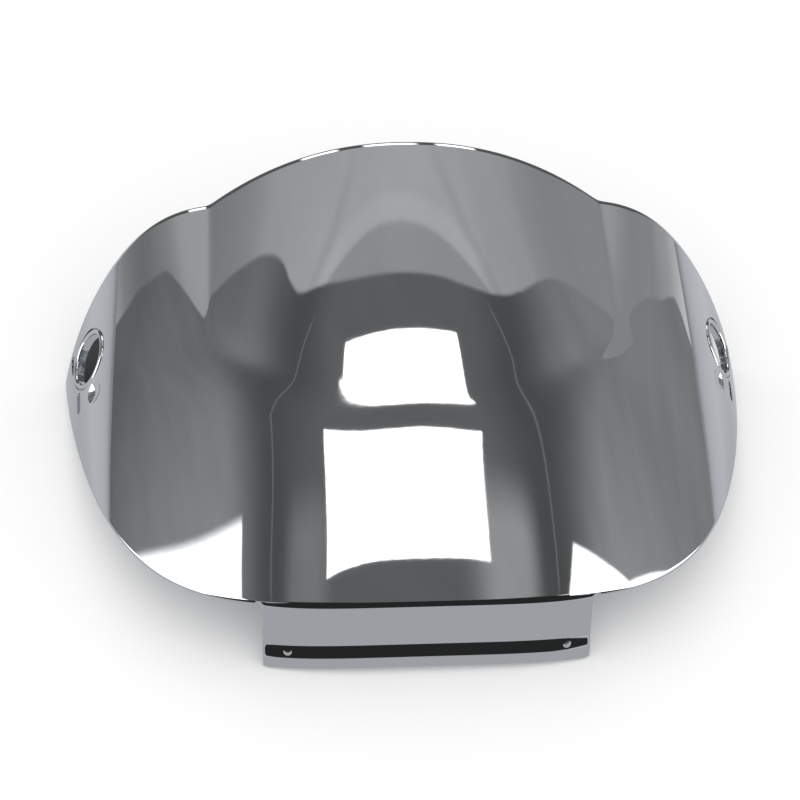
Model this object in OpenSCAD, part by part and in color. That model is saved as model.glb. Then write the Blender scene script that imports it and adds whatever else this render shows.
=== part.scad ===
// Motorcycle windscreen: a wrap-around double-bubble shell moulded in one piece,
// with a mirror ear at each side and a stepped tongue under the nose.
// The shell is drawn on a leaning plane: "across" runs from the middle to an ear,
// "slope" runs from the nose up to the top rim, and "height" is square to that plane.

/* [Shell] */
// Half width of the shell where its sides would stand upright
half_w = 206; // [190:1:215]
// Depth of the shell from its crown to where its sides would stand upright
crown_depth = 140; // [125:1:150]
// Squareness of the cross-section at the nose
nose_square = 3.2; // [2.6:0.1:3.4]
// Squareness of the cross-section at the top rim
top_square = 2.3; // [2.2:0.1:2.6]
// Lean of the drawing plane from the horizontal, in degrees
rake = 19; // [14:1:26]
// Rise of the lengthwise curve over its span
crown_rise = 20.6; // [16:0.2:24]
// Span of the lengthwise curve
crown_span = 360; // [340:5:380]
// Wall thickness
wall = 3.4; // [2.6:0.2:4]

/* [Outline] */
// Slope distance of the lower edge at the nose
nose_edge = 6; // [2:1:12]
// Slope distance of the top rim in the middle
top_edge = 282; // [270:1:292]
// How fast the lower edge climbs towards the ears
lower_climb = 245; // [230:1:255]
// Bend of the lower edge between nose and ears
lower_bend = 1.26; // [1.2:0.02:1.4]
// How fast the rear edge falls with the depth of the shell
rear_fall = 0.79; // [0.7:0.01:0.85]
// Section angle at which the ears end, in degrees
ear_end = 76.5; // [75:0.5:77.5]

/* [Bubble and shoulders] */
// Half width between the two valleys at the top rim
valley_x = 114; // [106:1:120]
// How far the valleys draw together where they fade out
valley_pull = 50; // [30:2:56]
// Height of the bubble above the valleys
bubble_h = 12; // [9:0.5:13]
// Height of the shoulders outside the valleys
shoulder_h = 9; // [5:0.5:11]
// Slope distance at which the bubble and the shoulders start
swell_start = 40; // [30:5:60]
// Slope distance at which they would reach their full height
swell_full = 330; // [310:5:350]

/* [Tongue] */
// Half width of the tongue
tongue_w = 87; // [75:1:92]
// Radius of the corner between the tongue and the lower edge
tongue_fillet = 4.5; // [3:0.5:6]
// Outside radius of the bend under the nose
bend_r = 5.2; // [4.6:0.2:7]
// Turn of that bend, in degrees
bend_turn = 48; // [40:1:54]
// Length of the skirt
skirt_len = 24; // [20:1:30]
// Length of the sloping ledge
ledge_len = 8.4; // [7.5:0.1:10]
// Turn from the skirt out to the ledge, in degrees
ledge_turn = 17; // [10:1:22]
// Length of the lip under the ledge
lip_len = 6; // [4:0.5:9]
// Diameter of the two screw holes in the ledge
screw_d = 4.4; // [3.6:0.2:5]
// Distance between the two screw holes
screw_gap = 150; // [130:1:160]

/* [Ears] */
// Section angle of the mirror hole, in degrees
hole_across = 61.5; // [60:0.5:63]
// Slope distance from the mirror hole up to the level of the top rim
hole_back = 101; // [98:1:104]
// Diameter of the mirror hole
hole_d = 30; // [26:1:31]
// Diameter of the flat seat round the mirror hole
seat_d = 38; // [36:1:40]
// Depth of the seat under the crown of the ear
seat_sink = 1.6; // [1.2:0.2:2]
// Thickness of the seat
seat_t = 3.6; // [3.2:0.2:4.6]
// Radius of the rolled lip round the mirror hole
lip_r = 1.7; // [1.4:0.1:2]
// Width of the two clip slots
slot_w = 4.6; // [4:0.2:5]
// Length of the two clip slots, end to end
slot_l = 14; // [11:0.5:15]
// Slope distance of the upper slot above the mirror hole
slot_a_up = 6; // [4:0.5:8]
// Slope distance of the lower slot below the mirror hole
slot_b_down = 25; // [24:0.5:28]
// Slope distance of the dimple below the mirror hole
dimple_down = 26; // [25:0.5:28]
// Diameter of the dimple
dimple_d = 14; // [10:0.5:15]
// Depth of the dimple
dimple_h = 2; // [1:0.2:2.2]

/* [Hidden] */
chrome = [0.55, 0.56, 0.58];

// Grid of the shell: columns to the tongue's side, to the valley and to the ear, and rows
tongue_cols = 8;
valley_cols = 5;
ear_cols = 19;
rows = 24;
cols = tongue_cols + valley_cols + ear_cols;
edge_steps = 4;
bore_fn = 96;

// Places on the ear, given as [section angle, slope distance]
hole_at = [hole_across, top_edge - hole_back];
slot_a_out = 8.5;
slot_b_out = 3.5;
dimple_in = 4;
slot_a_at = hole_at + [slot_a_out, slot_a_up];
slot_b_at = hole_at + [slot_b_out, -slot_b_down];
dimple_at = hole_at - [dimple_in, dimple_down];
slot_a_turn = -12;
slot_b_turn = -8;
screw_turn = 35;

function keep(v, low, high) = min(high, max(low, v));
function ease(v) = let (c = keep(v, 0, 1)) pow(c, 3) * (10 - 15 * c + 6 * c * c);
function versine(a) = 1 - cos(a);
function sign_of(v) = v < 0 ? -1 : 1;

// Squareness of the cross-section, which fades from the nose to the top
square_start = 20;
square_end = 220;
function squareness(s) =
    let (w = ease((s - square_start) / (square_end - square_start)))
    nose_square * (1 - w) + top_square * w;

function across(a, s) = half_w * pow(sin(abs(a)), 2 / squareness(s));
function angle_at(x, s) = asin(pow(x / half_w, squareness(s) / 2));

// Bubble and shoulders, x from the middle. They meet in a fold, crisp at the top rim and soft where it fades
shoulder_end = half_w * 0.97;
fold_top = 0.5;
fold_low = 4;
valley_start = 105;
valley_full = 185;
valley_bend = 1.6;
function swell_rise(s) = ease((s - swell_start) / (swell_full - swell_start));
function swell(x, s) =
    let (
        fade = 1 - ease((s - valley_start) / (valley_full - valley_start)),
        valley = valley_x - valley_pull * pow(fade, valley_bend),
        fold = fold_top + (fold_low - fold_top) * fade,
        bubble = bubble_h * (1 - pow(x / valley, 2)),
        shoulder = shoulder_h * sin(180 * keep((x - valley) / (shoulder_end - valley), -0.5, 1))
    )
    max(bubble, shoulder) + fold * ln(1 + exp(-abs(bubble - shoulder) / fold));
function crown(s) = 4 * crown_rise * s / crown_span * (1 - s / crown_span);
function height(a, s) =
    crown(s) - crown_depth * versine(a) + swell_rise(s) * (swell(across(a, s), s) - bubble_h);

// Lower and rear edges as slope distances
function lower_edge(a) = nose_edge + lower_climb * pow(versine(a), lower_bend);
function rear_edge(a) =
    top_edge - rear_fall * crown_depth * versine(a)
    + rear_fall * (swell(across(a, top_edge), top_edge) - bubble_h);

// A point of the outer face before the part is levelled
function lean(p) =
    [p[0], p[1] * cos(rake) - p[2] * sin(rake), p[1] * sin(rake) + p[2] * cos(rake)];
function skin(a, s) = lean([sign_of(a) * across(a, s), s, height(a, s)]);

// Section angle of each column
tongue_top = tongue_w + tongue_fillet;
tongue_angle = angle_at(tongue_top, nose_edge);
valley_angle = angle_at(valley_x, top_edge);
function column_angle(i) =
    let (k = abs(i), side = sign_of(i))
    side * (k <= tongue_cols ? tongue_angle * k / tongue_cols
        : k <= tongue_cols + valley_cols
            ? tongue_angle + (valley_angle - tongue_angle) * (k - tongue_cols) / valley_cols
            : valley_angle + (ear_end - valley_angle) * (k - tongue_cols - valley_cols) / ear_cols);

// Profile of the tongue, walked down from the nose: [distance, turn] with distance along the path
nose_slope = rake + atan(4 * crown_rise / crown_span * (1 - 2 * nose_edge / crown_span));
bend_steps = 5;
bend_path = bend_r * bend_turn * PI / 180;
corner_gap = 0.6;
tongue_steps = concat(
    [for (k = [1 : bend_steps]) [bend_path / bend_steps, nose_slope + bend_turn * (k - 0.5) / bend_steps]],
    [for (k = [1 : 2]) [(skirt_len - corner_gap) / 2, nose_slope + bend_turn]],
    [[2 * corner_gap, nose_slope + bend_turn - ledge_turn / 2]],
    [[ledge_len - 2 * corner_gap, nose_slope + bend_turn - ledge_turn]],
    [[2 * corner_gap, nose_slope + bend_turn - ledge_turn / 2]],
    [[lip_len - corner_gap, nose_slope + bend_turn]]
);
tongue_rows = len(tongue_steps);
ledge_row = bend_steps + 3;
function drop_to(j, k = 0) =
    k >= j ? [0, 0] : drop_to(j, k + 1)
        - tongue_steps[k][0] * [cos(tongue_steps[k][1]), sin(tongue_steps[k][1])];
function path_to(j, k = 0) = k >= j ? 0 : path_to(j, k + 1) + tongue_steps[k][0];

// Side of the tongue: a quarter-round corner and then a straight edge
function tongue_half(d) =
    d >= tongue_fillet ? tongue_w
        : tongue_w + tongue_fillet - sqrt(pow(tongue_fillet, 2) - pow(tongue_fillet - d, 2));
function tongue_point(i, j) =
    let (top = skin(column_angle(i), lower_edge(column_angle(i))), drop = drop_to(j))
    [top[0] * tongue_half(path_to(j)) / tongue_top, top[1] + drop[0], top[2] + drop[1]];

// Grid point of the outer face: rows below zero belong to the tongue
function face_point(i, j) =
    j < 0 ? tongue_point(i, -j)
        : let (a = column_angle(i), low = lower_edge(a))
            skin(a, low + (rear_edge(a) - low) * j / rows);
function side_limit(j) = j < 0 ? tongue_cols : cols;
function low_limit(i) = abs(i) <= tongue_cols ? -tongue_rows : 0;
function unit(v) = v / norm(v);
function face_normal(i, j) =
    let (
        e = side_limit(j),
        u = face_point(keep(i + 1, -e, e), j) - face_point(keep(i - 1, -e, e), j),
        v = face_point(i, keep(j + 1, low_limit(i), rows)) - face_point(i, keep(j - 1, low_limit(i), rows))
    )
    unit(cross(u, v));

// Point numbers: the outer face first, then the inner face, then the rounded rim
shell_count = (2 * cols + 1) * (rows + 1);
face_count = shell_count + (2 * tongue_cols + 1) * tongue_rows;
function number(i, j) =
    j >= 0 ? j * (2 * cols + 1) + i + cols
        : shell_count + (-j - 1) * (2 * tongue_cols + 1) + i + tongue_cols;
grid = concat(
    [for (j = [0 : rows]) for (i = [-cols : cols]) [i, j]],
    [for (j = [1 : tongue_rows]) for (i = [-tongue_cols : tongue_cols]) [i, -j]]
);
// Walk round the outline, seen from outside, anticlockwise from the left end of the lower edge
outline = concat(
    [for (i = [-cols : -tongue_cols]) [i, 0]],
    [for (j = [1 : tongue_rows]) [-tongue_cols, -j]],
    [for (i = [-tongue_cols + 1 : tongue_cols]) [i, -tongue_rows]],
    [for (j = [1 : tongue_rows]) [tongue_cols, j - tongue_rows]],
    [for (i = [tongue_cols + 1 : cols]) [i, 0]],
    [for (j = [1 : rows]) [cols, j]],
    [for (i = [1 : 2 * cols]) [cols - i, rows]],
    [for (j = [1 : rows - 1]) [-cols, rows - j]]
);
outline_count = len(outline);
function wrap(k) = (k + outline_count) % outline_count;
function outline_at(g) = search([g], outline)[0];
function point_of(g) = face_point(g[0], g[1]);

// Rounded rim: half circles from the outer to the inner face, swung outwards
function rim_out(k) =
    let (
        g = outline[k],
        along = point_of(outline[wrap(k + 1)]) - point_of(outline[wrap(k - 1)])
    )
    unit(cross(unit(along), face_normal(g[0], g[1])));
function rim_point(k, m) =
    let (g = outline[k], n = face_normal(g[0], g[1]), turn = 180 * m / edge_steps)
    point_of(g) - n * wall / 2 + n * wall / 2 * cos(turn) + rim_out(k) * wall / 2 * sin(turn);
function rim_number(k, m) =
    m == 0 ? number(outline[wrap(k)][0], outline[wrap(k)][1])
        : m == edge_steps ? face_count + number(outline[wrap(k)][0], outline[wrap(k)][1])
            : 2 * face_count + (m - 1) * outline_count + wrap(k);

// Levelling: the part stands on the corners of its tongue and on the lower corners of its ears
tongue_foot = rim_point(outline_at([tongue_cols, -tongue_rows]), edge_steps / 2);
ear_foot = rim_point(outline_at([cols, 0]), edge_steps / 2);
settle = atan((ear_foot[2] - tongue_foot[2]) / (ear_foot[1] - tongue_foot[1]));
function level(p) =
    [p[0], p[1] * cos(settle) + p[2] * sin(settle), p[2] * cos(settle) - p[1] * sin(settle)];
rim_box = [for (k = [0 : outline_count - 1]) for (m = [0 : edge_steps]) level(rim_point(k, m))];
centre_y = (min([for (p = rim_box) p[1]]) + max([for (p = rim_box) p[1]])) / 2;
floor_z = min([for (p = rim_box) p[2]]);

module shell() {
    outer = [for (g = grid) point_of(g)];
    inner = [for (g = grid) point_of(g) - wall * face_normal(g[0], g[1])];
    rim = [for (m = [1 : edge_steps - 1]) for (k = [0 : outline_count - 1]) rim_point(k, m)];
    cells = concat(
        [for (j = [0 : rows - 1]) for (i = [-cols : cols - 1]) [i, j]],
        [for (j = [1 : tongue_rows]) for (i = [-tongue_cols : tongue_cols - 1]) [i, -j]]
    );
    faces = concat(
        [for (c = cells) for (f = cell_faces(c[0], c[1], 0)) f],
        [for (c = cells) for (f = cell_faces(c[0], c[1], face_count)) [f[2], f[1], f[0]]],
        [for (k = [0 : outline_count - 1]) for (m = [0 : edge_steps - 1])
            for (f = [
                [rim_number(k, m), rim_number(k + 1, m), rim_number(k + 1, m + 1)],
                [rim_number(k, m), rim_number(k + 1, m + 1), rim_number(k, m + 1)]
            ]) f]
    );
    polyhedron(points = concat(outer, inner, rim), faces = faces, convexity = 6);
}
function cell_faces(i, j, base) =
    let (
        a = base + number(i, j),
        b = base + number(i + 1, j),
        c = base + number(i + 1, j + 1),
        d = base + number(i, j + 1)
    )
    i < 0 ? [[a, d, c], [a, c, b]] : [[a, d, b], [b, d, c]];

// Puts its children on the outer face at a section angle and slope distance:
// +Z square out of the face, +Y up the slope, turned by "turn"
face_step = 0.5;
module on_face(at, turn = 0) {
    p = skin(at[0], at[1]);
    v = unit(skin(at[0], at[1] + face_step) - skin(at[0], at[1] - face_step));
    u0 = skin(at[0] + face_step, at[1]) - skin(at[0] - face_step, at[1]);
    n = unit(cross(u0, v));
    u = cross(v, n);
    multmatrix([
        [u[0], v[0], n[0], p[0]],
        [u[1], v[1], n[1], p[1]],
        [u[2], v[2], n[2], p[2]],
        [0, 0, 0, 1]
    ])
        rotate([0, 0, turn]) children();
}

cut_out = 14;
cut_in = 12;
module seat_pocket() {
    translate([0, 0, -seat_sink]) cylinder(d = seat_d, h = cut_out, $fn = bore_fn);
}
module seat_pad() {
    translate([0, 0, -seat_sink - seat_t]) cylinder(d = seat_d, h = seat_t, $fn = bore_fn);
    translate([0, 0, -seat_sink])
        rotate_extrude($fn = bore_fn) translate([hole_d / 2 + lip_r, 0]) circle(r = lip_r, $fn = 24);
}
module mirror_hole() {
    translate([0, 0, -cut_in]) cylinder(d = hole_d, h = cut_in + cut_out, $fn = bore_fn);
}
module clip_slot() {
    run = slot_l - slot_w;
    for (y = [-run / 2, run / 2])
        translate([0, y, -cut_in]) cylinder(d = slot_w, h = 2 * cut_in, $fn = 48);
    translate([-slot_w / 2, -run / 2, -cut_in]) cube([slot_w, run, 2 * cut_in]);
}
module dimple() {
    ball_r = (pow(dimple_d / 2, 2) + pow(dimple_h, 2)) / (2 * dimple_h);
    translate([0, 0, ball_r - dimple_h]) sphere(r = ball_r, $fn = 64);
}

// Screw hole in the ledge, square to the ledge's face
module screw_hole(side) {
    a = angle_at(screw_gap / 2 * tongue_top / tongue_w, nose_edge);
    top = skin(a, lower_edge(a));
    mid = (drop_to(ledge_row) + drop_to(ledge_row + 1)) / 2;
    tilt = nose_slope + bend_turn - ledge_turn;
    translate([side * screw_gap / 2, top[1] + mid[0], top[2] + mid[1]])
        rotate([tilt, 0, 0]) rotate([0, 0, screw_turn])
            translate([0, 0, -cut_in]) cylinder(d = screw_d, h = 2 * cut_in, $fn = 48);
}

module windscreen() {
    color(chrome)
        translate([0, -centre_y, -floor_z]) rotate([-settle, 0, 0])
            difference() {
                union() {
                    difference() {
                        shell();
                        for (side = [-1, 1]) on_face([side * hole_at[0], hole_at[1]]) seat_pocket();
                    }
                    for (side = [-1, 1]) on_face([side * hole_at[0], hole_at[1]]) seat_pad();
                }
                for (side = [-1, 1]) {
                    on_face([side * hole_at[0], hole_at[1]]) mirror_hole();
                    on_face([side * slot_a_at[0], slot_a_at[1]], side * slot_a_turn) clip_slot();
                    on_face([side * slot_b_at[0], slot_b_at[1]], side * slot_b_turn) clip_slot();
                    on_face([side * dimple_at[0], dimple_at[1]]) dimple();
                    screw_hole(side);
                }
            }
}

windscreen();
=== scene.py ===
import bpy
import math
import numpy as np
from mathutils import Matrix, Vector


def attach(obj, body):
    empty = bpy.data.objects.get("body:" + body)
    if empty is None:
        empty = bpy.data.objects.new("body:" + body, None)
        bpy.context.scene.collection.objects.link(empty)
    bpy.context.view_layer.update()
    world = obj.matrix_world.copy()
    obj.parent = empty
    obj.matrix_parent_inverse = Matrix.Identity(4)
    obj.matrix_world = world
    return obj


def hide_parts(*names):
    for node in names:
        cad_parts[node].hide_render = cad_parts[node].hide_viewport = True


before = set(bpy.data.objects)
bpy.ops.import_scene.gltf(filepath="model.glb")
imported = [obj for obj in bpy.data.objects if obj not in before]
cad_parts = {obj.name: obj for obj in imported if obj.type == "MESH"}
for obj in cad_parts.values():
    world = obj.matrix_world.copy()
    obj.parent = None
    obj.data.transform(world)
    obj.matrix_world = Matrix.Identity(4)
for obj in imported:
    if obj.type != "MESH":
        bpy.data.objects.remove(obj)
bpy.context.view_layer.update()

mm = 0.001

# sizes are in millimetres, and angles in degrees
shell = {
    "halfWidth": 205.5, "crownDepth": 140,
    "noseSquare": 3.2, "topSquare": 2.3, "squareFrom": 20, "squareTo": 250, "squareSoft": 12,
    "rake": 19, "crownRise": 20.6, "crownSpan": 360, "wall": 3.4,
    "noseEdge": 6, "topEdge": 282, "lowerClimb": 245, "lowerBend": 1.26,
    "rearFall": 0.79, "earEnd": 76.5,
    "valleyX": 114, "valleyPull": 50, "valleyStart": 105, "valleyFull": 185, "valleyBend": 1.6,
    "bubble": 12, "shoulder": 9, "shoulderEnd": 0.97,
    "swellStart": 40, "swellFull": 330, "foldTop": 0.5, "foldLow": 4,
    "settle": 3.2306, "centreY": 130.451, "floorZ": -41.779,
    "rollWidth": 3, "rollDepth": 0.42,
    # the mesh: how it is divided, how far its rows and columns gather, and what counts as a crumb
    "innerCols": 42, "outerCols": 62, "rows": 116, "rimSteps": 8,
    "guideFrom": 60, "columnBend": 1.25, "columnEven": 0.2, "rowGather": 0.7, "rounds": 40,
    "weld": 0.002, "crumb": 0.008, "sliver": 0.004, "smoothAngle": 32,
}


def ease(v):
    v = np.clip(v, 0, 1)
    return v ** 3 * (10 - 15 * v + 6 * v * v)


def squareness(s):
    # an even change with soft ends, so that the wings stay convex and reflect without ripples
    start, end, soft = shell["squareFrom"], shell["squareTo"], shell["squareSoft"]
    climb = np.logaddexp(0, (s - start) / soft) - np.logaddexp(0, (s - end) / soft)
    w = soft * climb / (end - start)
    return shell["noseSquare"] * (1 - w) + shell["topSquare"] * w


def across(a, s):
    return shell["halfWidth"] * np.sin(np.radians(np.abs(a))) ** (2 / squareness(s))


def angleAt(x, s):
    return np.degrees(np.arcsin((x / shell["halfWidth"]) ** (squareness(s) / 2)))


def rise(s):
    return ease((s - shell["swellStart"]) / (shell["swellFull"] - shell["swellStart"]))


def valleyFade(s):
    # 1 near the nose, 0 where the valley runs straight up to the rim
    return np.clip(1 - ease((s - shell["valleyStart"]) / (shell["valleyFull"] - shell["valleyStart"])), 0, 1)


def valleyLine(s):
    return shell["valleyX"] - shell["valleyPull"] * valleyFade(s) ** shell["valleyBend"]


def swell(x, s):
    fold = shell["foldTop"] + (shell["foldLow"] - shell["foldTop"]) * valleyFade(s)
    valley = valleyLine(s)
    end = shell["shoulderEnd"] * shell["halfWidth"]
    bubble = shell["bubble"] * (1 - (x / valley) ** 2)
    shoulder = shell["shoulder"] * np.sin(np.pi * np.clip((x - valley) / (end - valley), -0.5, 1))
    return np.maximum(bubble, shoulder) + fold * np.log1p(np.exp(-np.abs(bubble - shoulder) / fold))


def versine(a):
    return 1 - np.cos(np.radians(a))


def height(a, s):
    part = s / shell["crownSpan"]
    crown = 4 * shell["crownRise"] * part * (1 - part)
    return crown - shell["crownDepth"] * versine(a) + rise(s) * (swell(across(a, s), s) - shell["bubble"])


def lowerEdge(a):
    return shell["noseEdge"] + shell["lowerClimb"] * versine(np.abs(a)) ** shell["lowerBend"]


def rearEdge(a):
    top = shell["topEdge"]
    drop = shell["crownDepth"] * versine(a) + shell["bubble"] - swell(across(a, top), top)
    return top - shell["rearFall"] * drop


def skin(a, s):
    # outer face in metres, leaned by the rake and set down on its feet
    a = np.asarray(a, float)
    s = np.asarray(s, float)
    h = height(a, s)
    lean = math.radians(shell["rake"] - shell["settle"])
    y = s * math.cos(lean) - h * math.sin(lean) - shell["centreY"]
    z = s * math.sin(lean) + h * math.cos(lean) - shell["floorZ"]
    return np.stack([np.sign(a) * across(a, s), y, z], -1) * mm


def useOnly(ob):
    bpy.ops.object.select_all(action="DESELECT")
    ob.select_set(True)
    bpy.context.view_layer.objects.active = ob


def readPoints(ob):
    co = np.empty(len(ob.data.vertices) * 3)
    ob.data.vertices.foreach_get("co", co)
    return co.reshape(-1, 3)


def writePoints(ob, co):
    ob.data.vertices.foreach_set("co", np.asarray(co, np.float32).ravel())
    ob.data.update()


tongue = {
    "halfWidth": 87, "fillet": 4.5, "bendRadius": 5.2, "bendTurn": 48,
    "skirt": 23.9, "ledge": 8.4, "ledgeTurn": 17, "lip": 5.81, "corner": 0.6,
    "bendSteps": 10, "skirtSteps": 8, "ledgeSteps": 3, "lipSteps": 2,
    "screwAcross": 75, "screwHole": 4.4, "screwReach": 8,
}

# columns: even up to a line that starts at the tongue's side and follows the valley, then out to the ear
tongueTop = tongue["halfWidth"] + tongue["fillet"]
inner = shell["innerCols"]
outer = shell["outerCols"]
half = inner + outer
rows = shell["rows"]


def guideLine(s):
    # from the tongue's side at the nose to the valley further up
    mix = ease((s - shell["guideFrom"]) / (shell["valleyFull"] - shell["guideFrom"]))
    return tongueTop * (1 - mix) + valleyLine(s) * mix


def columnAngle(k, s):
    # k counts columns from the middle, and s is the slope distance
    guide = guideLine(s)
    t = np.clip(k / inner, 0, 1)
    x = guide * (1 - (1 - t) ** shell["columnBend"] * (1 - shell["columnEven"] * t))
    guideAngle = angleAt(guide, s)
    u = np.clip((k - inner) / outer, 0, 1)
    beyond = guideAngle + (shell["earEnd"] - guideAngle) * u ** shell["columnBend"]
    return np.where(k <= inner, angleAt(np.maximum(x, 0), s), beyond)


def makeFace():
    bpy.ops.mesh.primitive_grid_add(x_subdivisions=2 * half, y_subdivisions=rows, size=2)
    ob = bpy.context.object
    ob.name = "chromeShell"
    grid = readPoints(ob)
    k = np.round(grid[:, 0] * half)
    # rows draw together towards the nose and the top rim, where the face bends and rolls over
    even = (grid[:, 1] + 1) / 2
    part = even - shell["rowGather"] * np.sin(2 * np.pi * even) / (2 * np.pi)
    # the slope distance depends on the angle and the other way round, so settle it in a few rounds
    a = np.abs(k) / half * shell["earEnd"]
    for again in range(shell["rounds"]):
        s = lowerEdge(a) + (rearEdge(a) - lowerEdge(a)) * part
        a = columnAngle(np.abs(k), s)
    s = lowerEdge(a) + (rearEdge(a) - lowerEdge(a)) * part
    signed = np.where(k < 0, -a, a)
    # the rim rolls inwards, square to the face
    step = 0.2
    acrossFace = skin(signed + step, s) - skin(signed - step, s)
    upFace = skin(signed, s + step) - skin(signed, s - step)
    out = np.cross(acrossFace, upFace)
    out /= np.linalg.norm(out, axis=1, keepdims=True)
    near = np.clip(1 - (rearEdge(a) - s) / shell["rollWidth"], 0, 1)
    writePoints(ob, skin(signed, s) - out * (shell["rollDepth"] * mm * near ** 2)[:, None])
    return ob, k, part


plate, columnOf, partOf = makeFace()
print("face laid out", len(plate.data.vertices))


def noseSlope():
    part = shell["noseEdge"] / shell["crownSpan"]
    return shell["rake"] + math.degrees(math.atan(4 * shell["crownRise"] / shell["crownSpan"] * (1 - 2 * part)))


def tongueSteps():
    # each step is a distance and the angle below the drawing plane
    turn = tongue["bendTurn"]
    n = tongue["bendSteps"]
    bend = tongue["bendRadius"] * math.radians(turn)
    gap = tongue["corner"]
    start = noseSlope()
    steep = start + turn
    corner = [(gap, steep - tongue["ledgeTurn"] * share) for share in (0.25, 0.75)]
    steps = [(bend / n, start + turn * (k + 0.5) / n) for k in range(n)]
    n = tongue["skirtSteps"]
    steps += [((tongue["skirt"] - gap) / n, steep)] * n
    steps += corner
    n = tongue["ledgeSteps"]
    steps += [((tongue["ledge"] - 2 * gap) / n, steep - tongue["ledgeTurn"])] * n
    steps += corner[::-1]
    n = tongue["lipSteps"]
    steps += [((tongue["lip"] - gap) / n, steep)] * n
    return steps


def tongueHalf(d):
    if d >= tongue["fillet"]:
        return tongue["halfWidth"]
    return tongueTop - math.sqrt(tongue["fillet"] ** 2 - (tongue["fillet"] - d) ** 2)


def pullTongue(ob):
    useOnly(ob)
    bpy.ops.object.mode_set(mode="EDIT")
    bpy.ops.mesh.select_mode(type="VERT")
    bpy.ops.mesh.select_all(action="DESELECT")
    bpy.ops.object.mode_set(mode="OBJECT")
    nose = (partOf < 0.0001) & (np.abs(columnOf) <= inner)
    ob.data.vertices.foreach_set("select", nose)
    for edge in ob.data.edges:
        edge.select = bool(nose[edge.vertices[0]] and nose[edge.vertices[1]])
    bpy.ops.object.mode_set(mode="EDIT")
    bpy.ops.mesh.select_mode(type="EDGE")
    walked = 0
    wide = tongueTop
    for distance, angle in tongueSteps():
        slope = math.radians(angle - shell["settle"])
        move = (0, -distance * math.cos(slope) * mm, -distance * math.sin(slope) * mm)
        bpy.ops.mesh.extrude_edges_move(TRANSFORM_OT_translate={"value": move})
        walked += distance
        now = tongueHalf(walked)
        bpy.ops.transform.resize(value=(now / wide, 1, 1), center_override=(0, 0, 0))
        wide = now
    bpy.ops.mesh.select_all(action="SELECT")
    bpy.ops.mesh.normals_make_consistent(inside=False)
    bpy.ops.object.mode_set(mode="OBJECT")
    # the crown must look up
    middle = min(ob.data.polygons, key=lambda p: (p.center - Vector((0, 0, 0.1))).length)
    if middle.normal.z < 0:
        useOnly(ob)
        bpy.ops.object.mode_set(mode="EDIT")
        bpy.ops.mesh.select_all(action="SELECT")
        bpy.ops.mesh.flip_normals()
        bpy.ops.object.mode_set(mode="OBJECT")


pullTongue(plate)
print("tongue pulled", len(plate.data.vertices))


def spotKey(point):
    return tuple(np.round(point, 7))


def closeShell(ob):
    # a full-round rim is pulled out of the open edge in steps, and meets a second, inner face
    mesh = ob.data
    uses = {}
    for poly in mesh.polygons:
        loop = list(poly.vertices)
        for i, v in enumerate(loop):
            uses.setdefault(frozenset((v, loop[i - 1])), []).append((loop[i - 1], v))
    after = {pair[0][0]: pair[0][1] for pair in uses.values() if len(pair) == 1}
    before = {b: a for a, b in after.items()}
    points = readPoints(ob)
    normals = np.empty(len(points) * 3)
    mesh.vertices.foreach_get("normal", normals)
    normals = normals.reshape(-1, 3)
    wall = shell["wall"] * mm
    ring = {}
    for v in after:
        along = points[after[v]] - points[before[v]]
        side = np.cross(along / np.linalg.norm(along), normals[v])
        ring[spotKey(points[v])] = (points[v] - normals[v] * wall / 2, normals[v] * wall / 2,
                                    side / np.linalg.norm(side) * wall / 2)
    useOnly(ob)
    bpy.ops.object.duplicate()
    inside = bpy.context.object
    writePoints(inside, points - normals * wall)
    bpy.ops.object.mode_set(mode="EDIT")
    bpy.ops.mesh.select_all(action="SELECT")
    bpy.ops.mesh.flip_normals()
    bpy.ops.object.mode_set(mode="OBJECT")
    useOnly(ob)
    bpy.ops.object.mode_set(mode="EDIT")
    bpy.ops.mesh.select_mode(type="EDGE")
    bpy.ops.mesh.select_all(action="DESELECT")
    bpy.ops.mesh.select_non_manifold(extend=False, use_wire=False, use_boundary=True,
                                     use_multi_face=False, use_non_contiguous=False, use_verts=False)
    steps = shell["rimSteps"]
    for m in range(1, steps + 1):
        bpy.ops.mesh.extrude_edges_move(TRANSFORM_OT_translate={"value": (0, 0, 0)})
        bpy.ops.object.mode_set(mode="OBJECT")
        points = readPoints(ob)
        turn = math.pi * m / steps
        moved = {}
        for v in ob.data.vertices:
            if v.select:
                centre, up, side = ring[spotKey(points[v.index])]
                points[v.index] = centre + up * math.cos(turn) + side * math.sin(turn)
                moved[v.index] = (centre, up, side)
        writePoints(ob, points)
        points = readPoints(ob)
        ring = {spotKey(points[v]): parts for v, parts in moved.items()}
        bpy.ops.object.mode_set(mode="EDIT")
    bpy.ops.object.mode_set(mode="OBJECT")
    whole = joinAll([ob, inside], "windscreenShell")
    useOnly(whole)
    bpy.ops.object.mode_set(mode="EDIT")
    bpy.ops.mesh.select_all(action="SELECT")
    bpy.ops.mesh.remove_doubles(threshold=shell["weld"] * mm)
    bpy.ops.mesh.normals_make_consistent(inside=False)
    bpy.ops.object.mode_set(mode="OBJECT")
    return whole


def joinAll(obs, name):
    bpy.ops.object.select_all(action="DESELECT")
    for ob in obs:
        ob.select_set(True)
    bpy.context.view_layer.objects.active = obs[0]
    bpy.ops.object.join()
    obs[0].name = name
    return obs[0]


plate = closeShell(plate)
print("wall and rim", len(plate.data.polygons))


ear = {
    "holeAt": (61.5, 181), "hole": 30, "seat": 38, "sink": 1.6, "pad": 3.6, "lip": 1.7,
    "cutBelow": 12, "cutAbove": 14, "clear": 0.06,
    "slotWidth": 4.6, "slotLength": 14, "slotDepth": 20,
    "slotA": (70, 187, -12), "slotB": (65, 156, -8),
    "dimpleAt": (57.5, 155), "dimple": 14, "dimpleDepth": 2,
}


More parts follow.
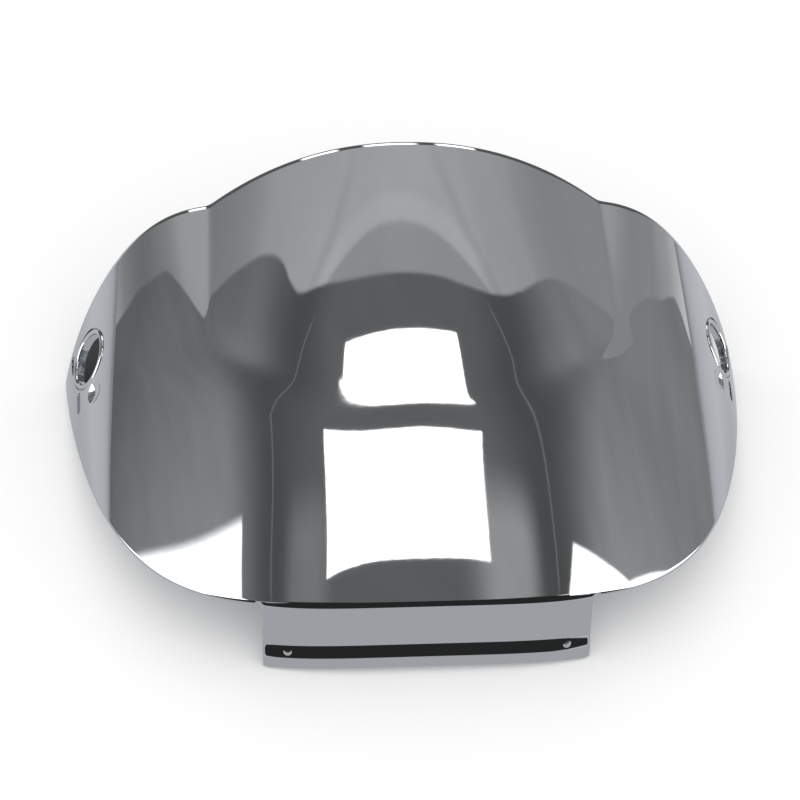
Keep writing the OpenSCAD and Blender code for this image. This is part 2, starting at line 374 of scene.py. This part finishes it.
def placeOnFace(side, at, turn=0):
    # +Z square out of the face, +Y up the slope
    a, s = at
    step = 0.5
    spot = skin(side * a, s)
    up = skin(side * a, s + step) - skin(side * a, s - step)
    up /= np.linalg.norm(up)
    out = np.cross(skin(side * a + step, s) - skin(side * a - step, s), up)
    out /= np.linalg.norm(out)
    right = np.cross(up, out)
    place = Matrix((
        (right[0], up[0], out[0], spot[0]),
        (right[1], up[1], out[1], spot[1]),
        (right[2], up[2], out[2], spot[2]),
        (0, 0, 0, 1)))
    return place @ Matrix.Rotation(math.radians(turn), 4, "Z")


def settleMesh(ob, place):
    ob.data.transform(place @ ob.matrix_world)
    ob.matrix_world = Matrix.Identity(4)
    return ob


def disc(place, across, low, high, points=96):
    bpy.ops.mesh.primitive_cylinder_add(vertices=points, radius=across / 2 * mm, depth=(high - low) * mm,
                                        location=(0, 0, (low + high) / 2 * mm))
    return settleMesh(bpy.context.object, place)


def slotTool(place):
    # a box grown round at both ends
    run = ear["slotLength"] - ear["slotWidth"]
    wide = ear["slotWidth"]
    bpy.ops.mesh.primitive_cylinder_add(vertices=48, radius=wide / 2 * mm, depth=ear["slotDepth"] * mm)
    ob = bpy.context.object
    bpy.ops.object.transform_apply()
    bpy.ops.object.mode_set(mode="EDIT")
    bpy.ops.mesh.select_all(action="SELECT")
    bpy.ops.mesh.bisect(plane_co=(0, 0, 0), plane_no=(0, 1, 0), clear_inner=True)
    bpy.ops.mesh.extrude_edges_move(TRANSFORM_OT_translate={"value": (0, -run / 2 * mm, 0)})
    bpy.ops.object.mode_set(mode="OBJECT")
    points = readPoints(ob)
    # the cut row moved down by half the run, and the rest moves up by as much
    points[:, 1] = np.where(points[:, 1] > -1e-6, points[:, 1] + run / 2 * mm, 0)
    writePoints(ob, points)
    mirror = ob.modifiers.new("twin", "MIRROR")
    mirror.use_axis = (False, True, False)
    mirror.use_clip = True
    mirror.merge_threshold = 0.00001
    bpy.ops.object.modifier_apply(modifier="twin")
    return settleMesh(ob, place)


def combine(ob, tool, operation):
    useOnly(ob)
    cut = ob.modifiers.new("cut", "BOOLEAN")
    cut.operation = operation
    cut.solver = "EXACT"
    cut.use_self = False
    cut.object = tool
    bpy.ops.object.modifier_apply(modifier="cut")
    bpy.data.objects.remove(tool, do_unlink=True)


def earTools():
    pockets, pads, lips, cuts = [], [], [], []
    for side in (-1, 1):
        hub = placeOnFace(side, ear["holeAt"])
        pockets.append(disc(hub, ear["seat"], -ear["sink"], ear["cutAbove"]))
        pads.append(disc(hub, ear["seat"], -ear["sink"] - ear["pad"], -ear["sink"]))
        bpy.ops.mesh.primitive_torus_add(major_segments=96, minor_segments=24,
                                         major_radius=(ear["hole"] / 2 + ear["lip"]) * mm,
                                         minor_radius=ear["lip"] * mm, location=(0, 0, -ear["sink"] * mm))
        lips.append(settleMesh(bpy.context.object, hub))
        # a hair wider than the lip's inner line, so that the cut doesn't just graze it
        cuts.append(disc(hub, ear["hole"] + ear["clear"], -ear["cutBelow"], ear["cutAbove"]))
        for key in ("slotA", "slotB"):
            a, s, turn = ear[key]
            cuts.append(slotTool(placeOnFace(side, (a, s), side * turn)))
        ball = ((ear["dimple"] / 2) ** 2 + ear["dimpleDepth"] ** 2) / (2 * ear["dimpleDepth"])
        bpy.ops.mesh.primitive_uv_sphere_add(segments=96, ring_count=64, radius=ball * mm,
                                             location=(0, 0, (ball - ear["dimpleDepth"]) * mm))
        cuts.append(settleMesh(bpy.context.object, placeOnFace(side, ear["dimpleAt"])))
    return pockets, pads, lips, cuts


def screwTools():
    cuts = []
    # walk down the tongue to the middle of its ledge
    down = np.zeros(2)
    walked = 0
    bend = tongue["bendRadius"] * math.radians(tongue["bendTurn"])
    ledgeMid = bend + tongue["skirt"] + tongue["ledge"] / 2
    for distance, angle in tongueSteps():
        part = min(distance, ledgeMid - walked)
        if part <= 0:
            break
        slope = math.radians(angle - shell["settle"])
        down -= part * np.array([math.cos(slope), math.sin(slope)])
        walked += distance
    tilt = noseSlope() + tongue["bendTurn"] - tongue["ledgeTurn"] - shell["settle"]
    lean = Matrix.Rotation(math.radians(tilt), 4, "X")
    reach = tongue["screwReach"]
    for side in (-1, 1):
        a = angleAt(tongue["screwAcross"] * tongueTop / tongue["halfWidth"], shell["noseEdge"])
        top = skin(a, lowerEdge(a)) / mm
        at = Vector((side * tongue["screwAcross"], top[1] + down[0], top[2] + down[1])) * mm
        cuts.append(disc(Matrix.Translation(at) @ lean, tongue["screwHole"], -reach, reach, 48))
    return cuts


pockets, pads, lips, cuts = earTools()
combine(plate, joinAll(pockets, "pockets"), "DIFFERENCE")
combine(plate, joinAll(pads, "pads"), "UNION")
combine(plate, joinAll(lips, "lips"), "UNION")
for tool in cuts + screwTools():
    combine(plate, tool, "DIFFERENCE")
useOnly(plate)
bpy.ops.object.mode_set(mode="EDIT")
bpy.ops.mesh.select_all(action="SELECT")
bpy.ops.mesh.remove_doubles(threshold=shell["crumb"] * mm)
bpy.ops.mesh.dissolve_degenerate(threshold=shell["sliver"] * mm)
bpy.ops.object.mode_set(mode="OBJECT")
print("ears and screw holes cut", len(plate.data.polygons))

useOnly(plate)
bpy.ops.object.shade_smooth_by_angle(angle=math.radians(shell["smoothAngle"]))
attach(plate, "root")
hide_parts("windscreen")


def addNode(tree, kind, **values):
    node = tree.nodes.new(kind)
    for key, value in values.items():
        setattr(node, key, value)
    return node


def plug(tree, socket, value):
    if hasattr(value, "is_output"):
        tree.links.new(value, socket)
    else:
        socket.default_value = value


def calc(tree, operation, *inputs):
    node = addNode(tree, "ShaderNodeMath", operation=operation)
    for socket, value in zip(node.inputs, inputs):
        plug(tree, socket, value)
    return node.outputs[0]


def ramp(tree, value, low, high, fromValue=0.0, toValue=1.0, kind="SMOOTHSTEP"):
    node = addNode(tree, "ShaderNodeMapRange", interpolation_type=kind)
    for socket, given in zip(node.inputs, (value, low, high, fromValue, toValue)):
        plug(tree, socket, given)
    return node.outputs[0]


def blend(tree, factor, a, b):
    # a where the factor is 0, b where it is 1
    return calc(tree, "ADD", calc(tree, "MULTIPLY", a, calc(tree, "SUBTRACT", 1.0, factor)),
                calc(tree, "MULTIPLY", b, factor))


chrome = {
    "colour": (0.56, 0.57, 0.585, 1), "roughness": 0.022,
    "haze": 0.01, "hazeScale": 18.0, "hazeFrom": 0.35, "hazeTo": 0.7,
    # slight unevenness of the plating: depth is a share of height, and height is in metres
    "waveScale": 14.0, "waveDepth": 0.01, "waveHeight": 0.002,
    "peelScale": 260.0, "peelDepth": 0.005, "peelHeight": 0.0004,
}


def makeChrome():
    mat = bpy.data.materials.new("mirrorChrome")
    mat.use_nodes = True
    tree = mat.node_tree
    shader = tree.nodes["Principled BSDF"]
    shader.inputs["Metallic"].default_value = 1
    shader.inputs["Base Color"].default_value = chrome["colour"]
    where = addNode(tree, "ShaderNodeTexCoord").outputs["Object"]

    def noise(scale, detail):
        node = addNode(tree, "ShaderNodeTexNoise")
        plug(tree, node.inputs["Vector"], where)
        node.inputs["Scale"].default_value = scale
        node.inputs["Detail"].default_value = detail
        return node.outputs["Fac"]

    def bump(pattern, depth, height):
        node = addNode(tree, "ShaderNodeBump")
        node.inputs["Strength"].default_value = depth
        node.inputs["Distance"].default_value = height
        plug(tree, node.inputs["Height"], pattern)
        return node

    rough = ramp(tree, noise(chrome["hazeScale"], 4), chrome["hazeFrom"], chrome["hazeTo"],
                 chrome["roughness"], chrome["roughness"] + chrome["haze"])
    plug(tree, shader.inputs["Roughness"], rough)
    wave = bump(noise(chrome["waveScale"], 1), chrome["waveDepth"], chrome["waveHeight"])
    peel = bump(noise(chrome["peelScale"], 2), chrome["peelDepth"], chrome["peelHeight"])
    plug(tree, peel.inputs["Normal"], wave.outputs["Normal"])
    plug(tree, shader.inputs["Normal"], peel.outputs["Normal"])
    return mat


plate.data.materials.clear()
plate.data.materials.append(makeChrome())
print("chrome done")

# the tent that the chrome reflects, in degrees from straight up: x to the right, y to the back
tent = {
    # tones
    "middle": 0.18, "seam": 0.115, "wingHigh": 0.19, "wingLow": 0.42, "rightLift": 0.1,
    "glowLeft": 0.12, "glowRight": 0.3, "front": 0.03, "behind": 0.14, "panel": 3.0, "fill": 1.16,
    # the seams each side of the middle, with a stitched line that forks
    "centre": 1.5, "seamAt": 17.8, "stitchHalf": 0.16, "stitchTone": 0.12, "forkFrom": 6.0, "forkSpread": 0.45,
    # the pale arc on the wall behind, the dusk under it, and the folds beside it
    "arcLow": 21.6, "arcHigh": 25.0, "arcBow": 0.022, "arcTone": 0.06, "duskTone": 0.13,
    "foldAt": 27.5, "foldLean": -0.6, "foldTone": 0.1,
    # the part of the roof that holds the windows, where the wall ends, and the lamps past it
    "roof": (-10.0, 14.0),
    "wallTop": 40.5, "wallCorner": 42.0, "wallClimb": 1.2,
    "lamps": [(-22.0, -12.0), (-4.5, 7.0), (12.0, 22.0)], "lampLow": 42.5, "lampHigh": 60.0,
    # the height at which the dark cloth ends, and the wall's tone, both from left to right
    "clothEdge": [
        (-100, 66), (-90, 62), (-82, 57.6), (-76.5, 51), (-69, 44.7), (-62, 41), (-55, 37.6), (-47, 35),
        (-42, 33.8), (-36, 31.5), (-29.5, 28.6), (-25, 25.6), (-21, 21.3), (-18, 18.9), (-13, 17.6), (-5, 15.8),
        (1, 15.2), (8, 14.9), (14, 14.9), (19, 15.8), (25, 18.7), (31, 22.8), (36, 26), (41, 28.4), (47, 30.8),
        (53, 33), (60, 36), (66, 40.4), (72, 44.5), (79, 45.5), (86.5, 47), (100, 52)],
    "wall": [
        (-100, 1), (-82, 0.8), (-78, 0.56), (-73, 0.42), (-68, 0.31), (-60, 0.27), (-50, 0.29), (-42, 0.34),
        (-36, 0.42), (-30, 0.5), (-22, 0.54), (-10, 0.57), (0, 0.59), (10, 0.58), (20, 0.54), (28, 0.5),
        (34, 0.41), (42, 0.38), (54, 0.39), (60, 0.44), (66, 0.52), (72, 0.65), (78, 0.85), (100, 1.1)],
}
# a lean is in degrees of x for each degree of y, and a bow grows with the square of the distance
upperWindow = {
    "left": -6.9, "leftLean": 0.14, "right": 10.3, "rightLean": -0.12, "tip": 0.8, "tipHeight": 0.6,
    "lowBow": 0.0265, "lowMiddle": 4.3, "high": 8.45, "highBow": 0.006, "highMiddle": 4.5,
}
lowerWindow = {
    "left": -4.6, "leftFlare": 2.8, "leftBend": 1.85, "right": 8.95, "rightFlare": 2.4, "rightBend": 3.2,
    "flareFrom": -16.0, "low": -16.35, "lowBow": 0.0165, "lowMiddle": 5.0,
    "high": -2.6, "highBow": 0.022, "highMiddle": 4.9,
}
opening = {
    "high": -27.0, "sideSlope": 1.15,
    "leftEdge": -26.3, "leftHigh": -7.4, "leftMiddle": -22.0, "leftBow": 0.0068, "leftSoft": 1.4,
    "rightEdge": 27.9, "rightLean": 0.3, "rightHigh": -12.2, "rightCorner": 41.5, "rightClimb": 0.5,
}


def makeTent():
    world = bpy.data.worlds.new("tent")
    bpy.context.scene.world = world
    world.use_nodes = True
    tree = world.node_tree
    tree.nodes.clear()
    parts = addNode(tree, "ShaderNodeSeparateXYZ")
    plug(tree, parts.inputs[0], addNode(tree, "ShaderNodeTexCoord").outputs["Generated"])
    dx, dy, dz = parts.outputs

    def m(operation, *inputs):
        return calc(tree, operation, *inputs)

    def bow(v, middle, factor):
        off = m("SUBTRACT", v, middle)
        return m("MULTIPLY", m("MULTIPLY", off, off), factor)

    def above(v, low, soft):
        return ramp(tree, m("SUBTRACT", v, low), -soft, soft)

    def below(v, high, soft):
        return ramp(tree, m("SUBTRACT", v, high), -soft, soft, 1.0, 0.0)

    def inside(v, low, high, soft):
        return m("MULTIPLY", above(v, low, soft), ramp(tree, m("SUBTRACT", high, v), -soft, soft))

    def past(v, limit):
        # how far v is past the limit, and 0 before it
        return m("MAXIMUM", m("SUBTRACT", v, limit), 0.0)

    def traced(value, stops, low, high, top):
        # a smooth curve through stops, with values from low to high and results up to top
        curve = addNode(tree, "ShaderNodeFloatCurve")
        line = curve.mapping.curves[0]
        spots = [((p - low) / (high - low), q / top) for p, q in stops]
        line.points[0].location = spots[0]
        line.points[1].location = spots[-1]
        for spot in spots[1:-1]:
            line.points.new(*spot)
        curve.mapping.update()
        plug(tree, curve.inputs["Value"], m("DIVIDE", m("SUBTRACT", value, low), high - low))
        return m("MULTIPLY", curve.outputs[0], top)

    flat = m("MAXIMUM", m("SQRT", m("ADD", m("MULTIPLY", dx, dx), m("MULTIPLY", dy, dy))), 0.0001)
    fromTop = m("MULTIPLY", m("ARCTAN2", flat, dz), 180 / math.pi)
    x = m("DIVIDE", m("MULTIPLY", fromTop, dx), flat)
    y = m("DIVIDE", m("MULTIPLY", fromTop, dy), flat)
    wide = m("ABSOLUTE", x)
    off = m("ABSOLUTE", m("SUBTRACT", x, tent["centre"]))

    def hung(stretch, scale, depth, swing):
        # soft uneven tone of hung cloth, around 1
        spot = addNode(tree, "ShaderNodeCombineXYZ")
        plug(tree, spot.inputs[0], m("MULTIPLY", m("ADD", x, m("MULTIPLY", y, swing)), scale))
        plug(tree, spot.inputs[1], m("MULTIPLY", y, scale * stretch))
        noise = addNode(tree, "ShaderNodeTexNoise")
        plug(tree, noise.inputs["Vector"], spot.outputs[0])
        noise.inputs["Scale"].default_value = 1
        noise.inputs["Detail"].default_value = 3
        return ramp(tree, noise.outputs["Fac"], 0.25, 0.75, 1 - depth, 1 + depth, "LINEAR")

    def clothTone():
        # wings each side, and a darker seam between them and the middle
        wing = ramp(tree, y, 38.0, -10.0, tent["wingHigh"], tent["wingLow"], "LINEAR")
        lift = m("MULTIPLY", ramp(tree, y, 8.0, 34.0), ramp(tree, x, 10.0, 50.0, 0.0, tent["rightLift"]))
        wing = m("ADD", wing, lift)
        middle = ramp(tree, off, 9.0, tent["seamAt"], tent["middle"], tent["seam"])
        glow = m("MULTIPLY", m("MULTIPLY", ramp(tree, y, -4.0, -14.0), inside(off, 6.5, 14.0, 2.0)),
                 ramp(tree, x, 0.0, 10.0, tent["glowLeft"], tent["glowRight"]))
        tone = blend(tree, ramp(tree, off, tent["seamAt"] + 0.7, 35.0), m("ADD", middle, glow), wing)
        tone = m("MULTIPLY", tone, hung(0.35, 0.16, 0.07, 0.4))
        fork = m("MULTIPLY", past(y, tent["forkFrom"]), tent["forkSpread"])
        stitch = inside(m("SUBTRACT", m("ADD", off, fork), tent["seamAt"] + 0.6),
                        -tent["stitchHalf"], tent["stitchHalf"], 0.12)
        stitch = m("MULTIPLY", stitch, m("MULTIPLY", ramp(tree, y, 15.0, 12.0), ramp(tree, y, -20.0, -17.0)))
        return m("ADD", tone, m("MULTIPLY", stitch, tent["stitchTone"]))

    def wallTone():
        tone = m("MULTIPLY", traced(x, tent["wall"], -100, 100, 1.2), hung(0.5, 0.07, 0.09, 0.0))
        arch = m("ADD", y, m("MULTIPLY", m("MULTIPLY", off, off), tent["arcBow"]))
        arc = m("MULTIPLY", inside(arch, tent["arcLow"], tent["arcHigh"], 1.2), ramp(tree, off, 18.0, 14.0))
        tone = m("ADD", tone, m("MULTIPLY", arc, tent["arcTone"]))
        dusk = m("MULTIPLY", ramp(tree, arch, tent["arcLow"] + 0.3, tent["arcLow"] - 0.7),
                 ramp(tree, off, 18.5, 15.5))
        tone = m("SUBTRACT", tone, m("MULTIPLY", dusk, tent["duskTone"]))
        fold = m("SUBTRACT", off, m("MULTIPLY_ADD", y, tent["foldLean"], tent["foldAt"]))
        fold = m("MULTIPLY", inside(fold, -0.8, 0.8, 2.0), ramp(tree, y, 36.0, 26.0))
        return m("SUBTRACT", tone, m("MULTIPLY", fold, tent["foldTone"]))

    def addLamps(tone):
        # past the wall it is dark but for the lamps, which light the top rim
        end = m("ADD", tent["wallTop"], m("MULTIPLY", past(wide, tent["wallCorner"]), tent["wallClimb"]))
        tone = blend(tree, ramp(tree, m("SUBTRACT", y, end), 0.0, 1.5), tone, tent["behind"])
        lamps = 0.0
        for left, right in tent["lamps"]:
            lamps = m("MAXIMUM", lamps, inside(x, left, right, 1.0))
        lamps = m("MULTIPLY", lamps, inside(y, tent["lampLow"], tent["lampHigh"], 1.0))
        return m("ADD", tone, m("MULTIPLY", lamps, tent["panel"]))

    def roofWindows():
        # the upper one has its lower corners drawn out
        w = upperWindow
        low = bow(x, w["lowMiddle"], w["lowBow"])
        tip = m("MULTIPLY", ramp(tree, m("SUBTRACT", y, low), w["tipHeight"], 0.0), w["tip"])
        left = m("SUBTRACT", m("MULTIPLY_ADD", y, w["leftLean"], w["left"]), tip)
        right = m("ADD", m("MULTIPLY_ADD", y, w["rightLean"], w["right"]), tip)
        high = m("SUBTRACT", w["high"], bow(x, w["highMiddle"], w["highBow"]))
        upper = m("MULTIPLY", inside(x, left, right, 0.1), inside(y, low, high, 0.1))
        # the lower one widens towards the upper one
        w = lowerWindow
        climb = m("DIVIDE", past(y, w["flareFrom"]), -w["flareFrom"])
        left = m("SUBTRACT", w["left"], m("MULTIPLY", m("POWER", climb, w["leftBend"]), w["leftFlare"]))
        right = m("ADD", w["right"], m("MULTIPLY", m("POWER", climb, w["rightBend"]), w["rightFlare"]))
        low = m("SUBTRACT", w["low"], bow(x, w["lowMiddle"], w["lowBow"]))
        high = m("ADD", w["high"], bow(x, w["highMiddle"], w["highBow"]))
        lower = m("MULTIPLY", inside(x, left, right, 0.1), inside(y, low, high, 0.1))
        # far out to the sides their curved edges would open again
        return m("MULTIPLY", m("MAXIMUM", upper, lower), inside(x, *tent["roof"], 0.5))

    def sidePanels():
        o = opening
        left = m("MULTIPLY", ramp(tree, x, o["leftEdge"], o["leftEdge"] + 0.8, 1.0, 0.0),
                 below(y, m("ADD", o["leftHigh"], bow(x, o["leftMiddle"], o["leftBow"])), o["leftSoft"]))
        climb = m("MULTIPLY", past(x, o["rightCorner"]), o["rightClimb"])
        right = m("MULTIPLY", above(x, m("MULTIPLY_ADD", y, o["rightLean"], o["rightEdge"]), 0.4),
                  below(y, m("ADD", o["rightHigh"], climb), 0.4))
        return m("MAXIMUM", left, right)

    edge = traced(x, tent["clothEdge"], -100, 100, 100)
    tone = addLamps(blend(tree, above(y, edge, 0.35), clothTone(), wallTone()))
    # the open front of the tent is black, with a pale panel to each side of it
    front = m("MULTIPLY", ramp(tree, y, opening["high"], opening["high"] + 1.5, 1.0, 0.0),
              ramp(tree, m("ADD", wide, m("MULTIPLY", y, opening["sideSlope"])), -1.0, 2.0, 1.0, 0.0))
    tone = blend(tree, front, tone, tent["front"])
    side = m("MULTIPLY", sidePanels(), m("SUBTRACT", 1.0, front))
    tone = blend(tree, m("MAXIMUM", roofWindows(), side), tone, tent["panel"])

    # only reflections see the tent
    paths = addNode(tree, "ShaderNodeLightPath")
    tint = addNode(tree, "ShaderNodeCombineColor")
    for socket, share in zip(tint.inputs, (0.99, 1.0, 1.0)):
        plug(tree, socket, m("MULTIPLY", tone, share))
    tentLight = addNode(tree, "ShaderNodeBackground")
    plug(tree, tentLight.inputs["Color"], tint.outputs[0])
    plain = addNode(tree, "ShaderNodeBackground")
    plain.inputs["Color"].default_value = (tent["fill"], tent["fill"], tent["fill"], 1)
    mix = addNode(tree, "ShaderNodeMixShader")
    plug(tree, mix.inputs[0], paths.outputs["Is Glossy Ray"])
    plug(tree, mix.inputs[1], plain.outputs[0])
    plug(tree, mix.inputs[2], tentLight.outputs[0])
    out = addNode(tree, "ShaderNodeOutputWorld")
    plug(tree, out.inputs["Surface"], mix.outputs[0])


makeTent()
print("tent done")

# in metres
ground = {
    "size": 8.0, "colour": 0.9,
    # painted light: tones of the floor that only reflections see, in front, and from near to far at the sides
    "front": 0.603, "near": 0.777, "far": 0.384,
    "frontEnd": 0.2, "sideStart": 0.3, "nearAt": 0.25, "farAt": 1.5,
    # patches of painted shade on the floor's colour, each with its middle in y, its reach in x and its reach in
    # y
    "shade": [(0.085, 0.196, 0.045), (0.02, 0.1, 0.08), (-0.06, 0.088, 0.069)],
    "shadeColour": 0.06, "shadeCorner": 8.0,
}


def makeFloor():
    bpy.ops.mesh.primitive_plane_add(size=ground["size"])
    ob = bpy.context.object
    ob.name = "floor"
    mat = bpy.data.materials.new("paleFloor")
    mat.use_nodes = True
    tree = mat.node_tree
    shader = tree.nodes["Principled BSDF"]
    shader.inputs["Roughness"].default_value = 0.8
    shader.inputs["Specular IOR Level"].default_value = 0.0
    glow = addNode(tree, "ShaderNodeEmission")
    place = addNode(tree, "ShaderNodeSeparateXYZ")
    plug(tree, place.inputs[0], addNode(tree, "ShaderNodeTexCoord").outputs["Object"])
    wide = calc(tree, "ABSOLUTE", place.outputs[0])
    # painted shade: the floor's colour is darkened under the shell and behind the tongue
    shaded = 0.0
    for middle, reach, deep in ground["shade"]:
        alongX = calc(tree, "DIVIDE", wide, reach)
        away = calc(tree, "SUBTRACT", place.outputs[1], middle)
        alongY = calc(tree, "ABSOLUTE", calc(tree, "DIVIDE", away, deep))
        far = calc(tree, "ADD", calc(tree, "POWER", alongX, ground["shadeCorner"]),
                   calc(tree, "POWER", alongY, ground["shadeCorner"]))
        shaded = calc(tree, "MAXIMUM", shaded, ramp(tree, far, 1.0, 0.75))
    base = ramp(tree, shaded, 0.0, 1.0, ground["colour"], ground["shadeColour"])
    paint = addNode(tree, "ShaderNodeCombineColor")
    for socket in paint.inputs[:3]:
        plug(tree, socket, base)
    plug(tree, shader.inputs["Base Color"], paint.outputs[0])
    # painted light for reflections: the floor glows evenly in front, and brighter close by at the sides
    side = ramp(tree, wide, ground["nearAt"], ground["farAt"], ground["near"], ground["far"], "LINEAR")
    shade = blend(tree, ramp(tree, wide, ground["frontEnd"], ground["sideStart"]), ground["front"], side)
    tint = addNode(tree, "ShaderNodeCombineColor")
    for socket, share in zip(tint.inputs, (0.97, 1.0, 1.04)):
        plug(tree, socket, calc(tree, "MULTIPLY", shade, share))
    plug(tree, glow.inputs["Color"], tint.outputs[0])
    paths = addNode(tree, "ShaderNodeLightPath")
    mix = addNode(tree, "ShaderNodeMixShader")
    plug(tree, mix.inputs[0], paths.outputs["Is Glossy Ray"])
    plug(tree, mix.inputs[1], shader.outputs[0])
    plug(tree, mix.inputs[2], glow.outputs[0])
    plug(tree, tree.nodes["Material Output"].inputs["Surface"], mix.outputs[0])
    ob.data.materials.append(mat)


makeFloor()

# the photo's viewpoint, in the part's own frame
view = {
    "eye": (-0.09374, -0.77508, 0.94473), "back": (-0.07217, -0.65838, 0.74922),
    "up": (0.01958, 0.75009, 0.66104), "lens": 94.95,
}


def makeCamera():
    data = bpy.data.cameras.new("view")
    data.lens = view["lens"]
    data.sensor_width = 36
    data.clip_end = 50
    ob = bpy.data.objects.new("view", data)
    bpy.context.scene.collection.objects.link(ob)
    back = Vector(view["back"]).normalized()
    up = Vector(view["up"])
    right = up.cross(back).normalized()
    up = back.cross(right)
    ob.matrix_world = Matrix((
        (right.x, up.x, back.x, view["eye"][0]),
        (right.y, up.y, back.y, view["eye"][1]),
        (right.z, up.z, back.z, view["eye"][2]),
        (0, 0, 0, 1)))
    bpy.context.scene.camera = ob


makeCamera()
bpy.context.scene.view_settings.view_transform = "Standard"

pieces = [plate]
corners = np.concatenate([readPoints(ob) for ob in pieces])
